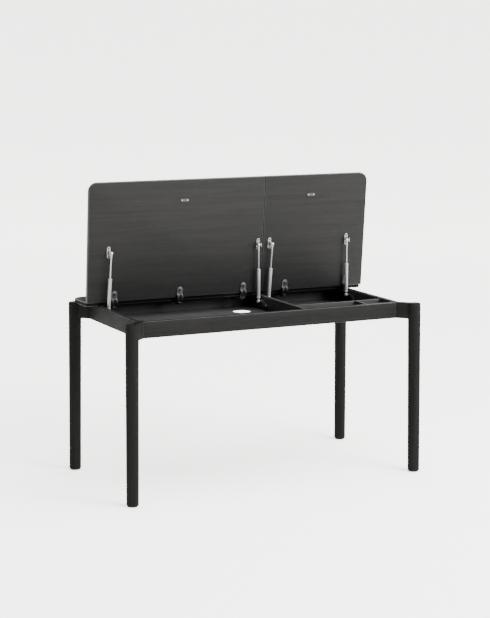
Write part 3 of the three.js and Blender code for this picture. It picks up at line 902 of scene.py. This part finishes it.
@dataclass
class RailFrame:
    """The four rails between the necks."""

    ease: float = 0.9 * MM

    def build(self) -> None:
        """Builds the rails."""
        for name, grain, inward in (
            ("front", Grain.ALONG_DESK, Vector((0, 1, 0))),
            ("rear", Grain.ALONG_DESK, Vector((0, -1, 0))),
            ("left", Grain.FRONT_TO_BACK, Vector((1, 0, 0))),
            ("right", Grain.FRONT_TO_BACK, Vector((-1, 0, 0))),
        ):
            # Faces that look into the bays take the lighter inner wood: painted fill light for the shade
            # in the bays.
            dress = Dress(
                board_wood(grain),
                worn_wood(grain),
                self.ease,
                3,
                painted_fill_inner_wood(grain),
                lambda face, inward=inward: face.normal.dot(inward) > 0.9,
            )
            eased_copy(f"{name}_rail", f"{name}_rail_board", dress)


@dataclass
class StorageBays:
    """The bottoms of the bays, the partition between them and the tray's dividers."""

    board_ease: float = 0.3 * MM
    divider_ease: float = 0.8 * MM

    def build(self) -> None:
        """Builds the bays."""
        for side in ("left", "right"):
            dress = Dress(BOARD, BOARD_EDGE, self.board_ease, 1)
            eased_copy(f"{side}_bay_bottom", f"{side}_bay_board", dress)
        for node, grain in (
            ("bay_partition", Grain.FRONT_TO_BACK),
            ("pen_tray_divider", Grain.ALONG_DESK),
            ("small_tray_divider", Grain.FRONT_TO_BACK),
        ):
            # The partition and dividers wear the lighter inner wood: painted fill light for the shade in
            # the bays.
            dress = Dress(painted_fill_inner_wood(grain), worn_wood(grain), self.divider_ease, 3)
            eased_copy(node, f"{node}_board", dress)


@dataclass
class TopBoards:
    """The fixed rear strip and the two lids."""

    ease: float = 0.7 * MM

    def build(self) -> None:
        """Builds the boards of the top."""
        grain = Grain.ALONG_DESK
        for node, name, veneer in (
            # The rear strip's veneer is darker by painted shade from the open lids.
            ("rear_top_strip", "rear_strip_board", SHADED_STRIP_WOOD),
            ("left_lid", "left_lid_board", LID_WOOD),
            ("right_lid", "right_lid_board", LID_WOOD),
        ):
            eased_copy(node, name, Dress(veneer, worn_wood(grain), self.ease, 3))


@dataclass
class FlapHinge:
    """A hinge's leaf under its lid and the fixed arm that it turns in."""

    side: str
    number: int
    screw: ScrewHead = field(default_factory=ScrewHead)
    leaf_thickness: float = 3.0 * MM
    screw_from_end: float = 13.5 * MM

    def build(self) -> None:
        """Builds the hinge."""
        leaf = f"{self.side}_hinge_leaf_{self.number}"
        arm = f"{self.side}_hinge_arm_{self.number}"
        axes = lid_frame(self.side)
        low, high = box_in(leaf, axes)
        back = axes.inverted()
        # The shoe below the leaf plate takes dark steel: painted shade, so that it reads as hidden in
        # shadow under the lid.
        shaded_shoe_top = high.z - self.leaf_thickness - 0.5 * MM
        dress = Dress(
            LEAF_STEEL,
            LEAF_EDGE,
            0.35 * MM,
            end=DARK_STEEL,
            end_grain_and_painted_light_faces=lambda face: (back @ face.calc_center_median()).z < shaded_shoe_top,
        )
        eased_copy(leaf, f"{self.side}_leaf_plate_{self.number}", dress)
        eased_copy(arm, f"{self.side}_arm_saddle_{self.number}", Dress(DARK_STEEL, LEAF_STEEL, 0.35 * MM))
        middle = (low.x + high.x) / 2
        face = high.z - self.leaf_thickness
        down = Vector((0, 0, -1))
        place = axes @ facing(down, Vector((middle, low.y + self.screw_from_end, face)))
        head = self.screw.build(f"{self.side}_leaf_screw_{self.number}", place)
        fitted(head, leaf, DARK_STEEL)


@dataclass
class GasStrut:
    """A gas strut: bracket on the frame, tube, rod with its end fitting, bracket on the lid."""

    side: str
    which: str
    screw: ScrewHead = field(default_factory=ScrewHead)
    lid_screw: ScrewHead = field(default_factory=lambda: ScrewHead(4.9 * MM, 1.5 * MM))
    ease: float = 0.25 * MM
    plate: float = 2.0 * MM
    lid_screw_inset: float = 7.0 * MM
    frame_screw_from_foot: float = 46.0 * MM
    frame_bracket_tilt: float = math.radians(17)

    @property
    def name(self) -> str:
        """The strut's name in the record."""
        return f"{self.side}_{self.which}_strut"

    def axes(self) -> tuple[Matrix, float]:
        """Where the strut stands.

        Returns:
            From the strut's axes, with Z from foot to eye, to the desk's; and its length.
        """
        foot = Vector(JOINTS[f"{self.name}_pivot"]["pos_m"])
        along = Vector(JOINTS[f"{self.side}_{self.which}_rod_slide"]["axis"])
        axes = facing(along, foot)
        reach = box_in(f"{self.name}_rod", axes)[1].z
        return axes, reach

    def build(self) -> None:
        """Builds the strut."""
        stem = f"{self.side}_{self.which}"
        for part, name, flat, edge in (
            ("frame_bracket", "frame_plate", DULL_ZINC, ZINC),
            ("tube", "tube_body", STRUT_PAINT, STRUT_PAINT),
            ("rod", "rod_bar", GROUND_ROD, ZINC),
            ("lid_bracket", "lid_plate", ZINC, ZINC_EDGE),
        ):
            eased_copy(f"{self.name}_{part}", f"{stem}_{name}", Dress(flat, edge, self.ease))
        self.add_fittings(stem)
        self.add_lid_screws(stem)
        self.add_frame_screw(stem)

    def add_fittings(self, stem: str) -> None:
        """Adds the tube's two collars and the rod's end fitting.

        Args:
            stem: How the pieces' names begin.
        """
        axes, reach = self.axes()
        tube_end = box_in(f"{self.name}_tube", axes)[1].z
        collar = [
            (3.7, -6.0), (7.8, -6.0), (8.0, -5.4), (8.0, -1.2), (7.4, 0.4), (5.2, 1.2), (3.7, 1.2),
        ]
        ring = turned(f"{stem}_rod_seal", [(r * MM, tube_end + z * MM) for r, z in collar], axes)
        fitted(ring, f"{self.name}_tube", STRUT_PAINT)
        crimp = [(7.2, 13.8), (7.7, 13.8), (7.9, 14.6), (7.9, 19.0), (7.6, 19.8), (7.2, 19.8)]
        base = turned(f"{stem}_base_crimp", [(r * MM, z * MM) for r, z in crimp], axes)
        fitted(base, f"{self.name}_tube", STRUT_PAINT)
        fitting = [
            (2.6, -32.0), (3.4, -32.0), (3.9, -31.0), (3.9, -24.0), (3.5, -23.0), (3.5, -21.5),
            (4.2, -20.5), (4.2, -14.5), (3.7, -12.5), (2.6, -12.5),
        ]
        end = turned(f"{stem}_rod_fitting", [(r * MM, reach + z * MM) for r, z in fitting], axes)
        fitted(end, f"{self.name}_rod", STRUT_PAINT)

    def add_lid_screws(self, stem: str) -> None:
        """Adds the two screws of the bracket on the lid.

        Args:
            stem: How the pieces' names begin.
        """
        node = f"{self.name}_lid_bracket"
        axes = lid_frame(self.side)
        low, high = box_in(node, axes)
        ends = (low.y + self.lid_screw_inset, high.y - self.lid_screw_inset)
        for number, y in enumerate(ends, start=1):
            spot = Vector(((low.x + high.x) / 2, y, high.z - self.plate))
            place = axes @ facing(Vector((0, 0, -1)), spot)
            head = self.lid_screw.build(f"{stem}_lid_screw_{number}", place)
            fitted(head, node, SCREW_BLACK)

    def add_frame_screw(self, stem: str) -> None:
        """Adds the screw at the far end of the bracket on the frame.

        Args:
            stem: How the piece's name begins.
        """
        node = f"{self.name}_frame_bracket"
        low, high = (Vector(c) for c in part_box(node))
        foot = Vector(JOINTS[f"{self.name}_pivot"]["pos_m"])
        on_right = abs(high.x - foot.x) > abs(low.x - foot.x)
        wall = high.x if on_right else low.x
        inward = Vector((-1 if on_right else 1, 0, 0))
        forward = self.frame_screw_from_foot * math.cos(self.frame_bracket_tilt)
        down = self.frame_screw_from_foot * math.sin(self.frame_bracket_tilt)
        spot = Vector((wall, foot.y - forward, foot.z - down))
        head = self.screw.build(f"{stem}_frame_screw", facing(inward, spot + inward * self.plate))
        fitted(head, node, ZINC)


@dataclass
class PushLatch:
    """A latch inside the front rail, its plunger, and the strike plate under the lid."""

    side: str
    strike_screw: ScrewHead = field(default_factory=lambda: ScrewHead(2.9 * MM, 0.9 * MM))
    strike_screw_spacing: float = 25.6 * MM

    def build(self) -> None:
        """Builds the latch."""
        case_dress = Dress(PLASTIC, PLASTIC, 0.8 * MM, 3)
        pin_dress = Dress(ZINC, ZINC_EDGE, 0.6 * MM, 3)
        eased_copy(f"{self.side}_latch_body", f"{self.side}_latch_case", case_dress)
        eased_copy(f"{self.side}_latch_plunger", f"{self.side}_latch_pin", pin_dress)
        strike = f"{self.side}_strike_plate"
        eased_copy(strike, f"{self.side}_strike", Dress(PLASTIC, PLASTIC, 0.2 * MM))
        axes = lid_frame(self.side)
        low, high = box_in(strike, axes)
        middle = (low + high) / 2
        for number, sign in enumerate((-1, 1), start=1):
            spot = middle + Vector((sign * self.strike_screw_spacing / 2, 0, 0))
            place = axes @ facing(Vector((0, 0, -1)), spot)
            head = self.strike_screw.build(f"{self.side}_strike_screw_{number}", place)
            fitted(head, strike, ZINC)


@dataclass
class Studio:
    """The seamless floor, soft lights and camera."""

    camera_place: tuple[float, float, float] = (-3.1867, -6.57044, 1.90341)
    yaw: float = -25.8934
    pitch: float = 80.7266
    roll: float = 0.12
    lens: float = 100.3159
    sensor: float = 36.0
    sight: float = 250.0
    room_light: float = 1.35
    open_side_light: float = 0.05
    overhead_strength: float = 8.5
    floor_glow: float = 1.2
    open_side: tuple[float, float, float] = (-0.72, -0.69, 0.0)
    floor_behind: float = 9.0
    floor_reach: float = 90.0
    sweep_radius: float = 3.0
    sweep_steps: int = 24
    wall_height: float = 8.0

    def build(self) -> None:
        """Builds the studio."""
        self.floor()
        self.world()
        self.light("right_soft_box", (3.0, -4.7, 3.3), (0, 0, 0.7), (2.8, 2.8), 720.0)
        self.overhead()
        self.camera()

    def floor(self) -> None:
        """Makes a floor that sweeps up behind the desk."""
        profile = [(-self.floor_reach, 0.0)]
        for i in range(self.sweep_steps + 1):
            turn = math.pi / 2 * i / self.sweep_steps
            reach = self.floor_behind + self.sweep_radius * math.sin(turn)
            profile.append((reach, self.sweep_radius * (1 - math.cos(turn))))
        profile.append((self.floor_behind + self.sweep_radius, self.wall_height))
        shape = bmesh.new()
        sides = (-self.floor_reach, self.floor_reach)
        direction = Matrix.Rotation(math.radians(self.yaw), 3, "Z")
        rows = [[shape.verts.new(direction @ Vector((x, y, z))) for x in sides] for y, z in profile]
        for near, far in zip(rows, rows[1:]):
            shape.faces.new((near[0], near[1], far[1], far[0]))
        mesh = bpy.data.meshes.new("studio_floor")
        shape.to_mesh(mesh)
        shape.free()
        mesh.polygons.foreach_set("use_smooth", [True] * len(mesh.polygons))
        material = bpy.data.materials.new("pale_floor")
        material.use_nodes = True
        shader = material.node_tree.nodes["Principled BSDF"]
        shader.inputs["Base Color"].default_value = (0.88, 0.868, 0.85, 1.0)
        shader.inputs["Emission Color"].default_value = (1.0, 0.985, 0.96, 1.0)
        shader.inputs["Emission Strength"].default_value = self.floor_glow
        shader.inputs["Roughness"].default_value = 0.9
        shader.inputs["Specular IOR Level"].default_value = 0.1
        mesh.materials.append(material)
        add_object("studio_floor", mesh)

    def world(self) -> None:
        """Lights the room evenly from all round."""
        world = bpy.data.worlds.new("studio")
        world.use_nodes = True
        graph = Graph(world.node_tree)
        place = graph.add("ShaderNodeTexCoord").outputs["Generated"]
        open_side = graph.add(
            "ShaderNodeVectorMath", {0: place, 1: self.open_side}, operation="DOT_PRODUCT"
        )
        towards = open_side.outputs["Value"]
        strength = graph.span(towards, self.room_light, self.open_side_light, 0.0, 0.8)
        background = world.node_tree.nodes["Background"]
        background.inputs[0].default_value = (1.0, 1.0, 1.0, 1.0)
        world.node_tree.links.new(strength, background.inputs[1])
        bpy.context.scene.world = world

    def light(
        self,
        name: str,
        place: Sequence[float],
        target: Sequence[float],
        size: Sequence[float],
        power: float,
    ) -> None:
        """Adds a soft box.

        Args:
            name: The light's name.
            place: Where it stands.
            target: What it faces.
            size: Its width and height.
            power: Its power in watts.
        """
        data = bpy.data.lights.new(name, "AREA")
        data.shape = "RECTANGLE"
        data.size, data.size_y = size
        data.energy = power
        lamp = bpy.data.objects.new(name, data)
        lamp.location = place
        lamp.rotation_euler = (Vector(target) - Vector(place)).to_track_quat("-Z", "Y").to_euler()
        bpy.context.scene.collection.objects.link(lamp)

    def overhead(self) -> None:
        """Adds the broad, soft light from above, even over the whole floor."""
        data = bpy.data.lights.new("overhead_light", "SUN")
        data.energy = self.overhead_strength
        data.angle = math.radians(80)
        lamp = bpy.data.objects.new("overhead_light", data)
        lamp.rotation_euler = Vector((-1.6, 2.2, -5.0)).to_track_quat("-Z", "Y").to_euler()
        bpy.context.scene.collection.objects.link(lamp)

    def camera(self) -> None:
        """Sets up the camera."""
        data = bpy.data.cameras.new("camera")
        data.sensor_width = self.sensor
        data.lens = self.lens
        data.clip_end = self.sight
        camera = bpy.data.objects.new("camera", data)
        turn = Matrix.Rotation(math.radians(self.yaw), 4, "Z")
        turn = turn @ Matrix.Rotation(math.radians(self.pitch), 4, "X")
        turn = turn @ Matrix.Rotation(math.radians(self.roll), 4, "Z")
        camera.matrix_world = Matrix.Translation(self.camera_place) @ turn
        bpy.context.scene.collection.objects.link(camera)
        bpy.context.scene.camera = camera


def main() -> None:
    """Builds the desk's looks and the studio around it."""
    logging.basicConfig(level=logging.INFO, format="%(name)s: %(message)s")
    Studio().build()
    for corner in ("front_left", "front_right", "rear_left", "rear_right"):
        LegCorner(corner).build()
    RailFrame().build()
    StorageBays().build()
    TopBoards().build()
    for side, count in (("left", 3), ("right", 2)):
        for number in range(1, count + 1):
            FlapHinge(side, number).build()
        for which in ("outer", "inner"):
            GasStrut(side, which).build()
        PushLatch(side).build()


if __name__ == "__main__":
    main()
